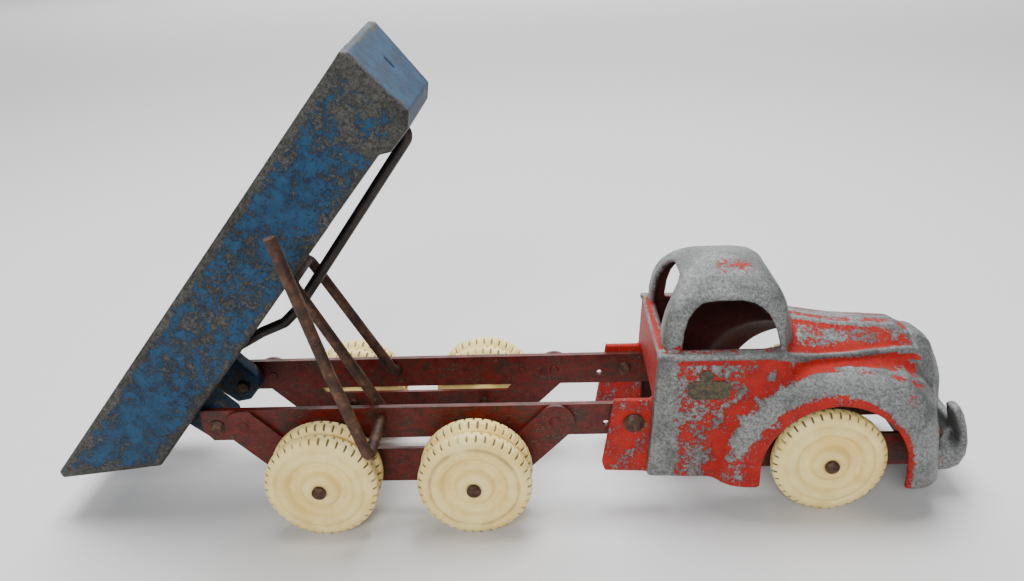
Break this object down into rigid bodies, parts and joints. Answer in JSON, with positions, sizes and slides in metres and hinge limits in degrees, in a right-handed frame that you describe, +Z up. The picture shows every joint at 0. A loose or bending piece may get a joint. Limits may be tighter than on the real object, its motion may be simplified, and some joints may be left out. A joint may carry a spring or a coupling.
{
  "type": "toy dump truck",
  "caption": "Cast metal six-wheel toy tip truck with dual rear wheels, a raised tray that tips on two hinge rivets, and a side lever whose crank lifts it.",
  "frame": {"origin": "on the ground, under the middle of the truck's whole box with the tray raised", "axes": "+X to the front of the truck, +Y to its left, +Z up"},
  "size_m": [0.472, 0.1243, 0.2406],
  "materials": {
    "cab_paint": "worn red enamel over bare cast aluminium, half the paint gone",
    "tray_paint": "worn blue enamel over cast aluminium, finely chipped",
    "chassis_paint": "dark red enamel over rusting steel strip",
    "rusty_steel": "bare steel with an even brown rust",
    "black_steel": "black japanned steel rod, worn brown at the bends",
    "vinyl": "cream moulded vinyl, dirty in the tread notches",
    "badge": "dark varnished transfer with a dull gold edge, no lettering"
  },
  "bodies": {
    "chassis": {"cab_shell": "cab_paint", "rail_right": "chassis_paint", "rail_left": "chassis_paint", "hanger_right": "chassis_paint", "hanger_left": "chassis_paint", "front_axle_frame": "chassis_paint", "axle_front": "rusty_steel", "axle_rear_1": "rusty_steel", "axle_rear_2": "rusty_steel", "hinge_rivet_right": "rusty_steel", "hinge_rivet_left": "rusty_steel", "cab_rivet_right": "rusty_steel", "cab_rivet_left": "rusty_steel", "frame_rivets_right": "rusty_steel", "frame_rivets_left": "rusty_steel", "nose_rivets": "rusty_steel", "door_badge_right": "badge", "door_badge_left": "badge"},
    "tray": {"tray_shell": "tray_paint", "guide_rod": "black_steel"},
    "lever": {"lever_rod": "rusty_steel"},
    "wheel_body_front_right": {"wheel_front_right": "vinyl"},
    "wheel_body_rear_1_outer_right": {"wheel_rear_1_outer_right": "vinyl"},
    "wheel_body_rear_1_inner_right": {"wheel_rear_1_inner_right": "vinyl"},
    "wheel_body_rear_2_outer_right": {"wheel_rear_2_outer_right": "vinyl"},
    "wheel_body_rear_2_inner_right": {"wheel_rear_2_inner_right": "vinyl"},
    "wheel_body_front_left": {"wheel_front_left": "vinyl"},
    "wheel_body_rear_1_outer_left": {"wheel_rear_1_outer_left": "vinyl"},
    "wheel_body_rear_1_inner_left": {"wheel_rear_1_inner_left": "vinyl"},
    "wheel_body_rear_2_outer_left": {"wheel_rear_2_outer_left": "vinyl"},
    "wheel_body_rear_2_inner_left": {"wheel_rear_2_inner_left": "vinyl"}
  },
  "joints": [
    {"name": "tray_tilt", "type": "hinge", "parent": "chassis", "child": "tray", "pos_m": [-0.15038, 0.00295, 0.0484], "axis": [0, 1, 0], "range_deg": [0, 50]},
    {"name": "lever_swing", "type": "hinge", "parent": "chassis", "child": "lever", "pos_m": [-0.06438, 0.00295, 0.052], "axis": [0, 1, 0], "range_deg": [0, 111.5]},
    {"name": "spin_front_right", "type": "hinge", "parent": "chassis", "child": "wheel_body_front_right", "pos_m": [0.16072, 0.00295, 0.0285], "axis": [0, 1, 0], "continuous": true},
    {"name": "spin_rear_1_outer_right", "type": "hinge", "parent": "chassis", "child": "wheel_body_rear_1_outer_right", "pos_m": [-0.09268, 0.00295, 0.0285], "axis": [0, 1, 0], "continuous": true},
    {"name": "spin_rear_1_inner_right", "type": "hinge", "parent": "chassis", "child": "wheel_body_rear_1_inner_right", "pos_m": [-0.09268, 0.00295, 0.0285], "axis": [0, 1, 0], "continuous": true},
    {"name": "spin_rear_2_outer_right", "type": "hinge", "parent": "chassis", "child": "wheel_body_rear_2_outer_right", "pos_m": [-0.01618, 0.00295, 0.0285], "axis": [0, 1, 0], "continuous": true},
    {"name": "spin_rear_2_inner_right", "type": "hinge", "parent": "chassis", "child": "wheel_body_rear_2_inner_right", "pos_m": [-0.01618, 0.00295, 0.0285], "axis": [0, 1, 0], "continuous": true},
    {"name": "spin_front_left", "type": "hinge", "parent": "chassis", "child": "wheel_body_front_left", "pos_m": [0.16072, 0.00295, 0.0285], "axis": [0, 1, 0], "continuous": true},
    {"name": "spin_rear_1_outer_left", "type": "hinge", "parent": "chassis", "child": "wheel_body_rear_1_outer_left", "pos_m": [-0.09268, 0.00295, 0.0285], "axis": [0, 1, 0], "continuous": true},
    {"name": "spin_rear_1_inner_left", "type": "hinge", "parent": "chassis", "child": "wheel_body_rear_1_inner_left", "pos_m": [-0.09268, 0.00295, 0.0285], "axis": [0, 1, 0], "continuous": true},
    {"name": "spin_rear_2_outer_left", "type": "hinge", "parent": "chassis", "child": "wheel_body_rear_2_outer_left", "pos_m": [-0.01618, 0.00295, 0.0285], "axis": [0, 1, 0], "continuous": true},
    {"name": "spin_rear_2_inner_left", "type": "hinge", "parent": "chassis", "child": "wheel_body_rear_2_inner_left", "pos_m": [-0.01618, 0.00295, 0.0285], "axis": [0, 1, 0], "continuous": true}
  ],
  "couplings": [
    {"joint": "lever_swing", "follows": "tray_tilt", "ratio": 2.22}
  ]
}
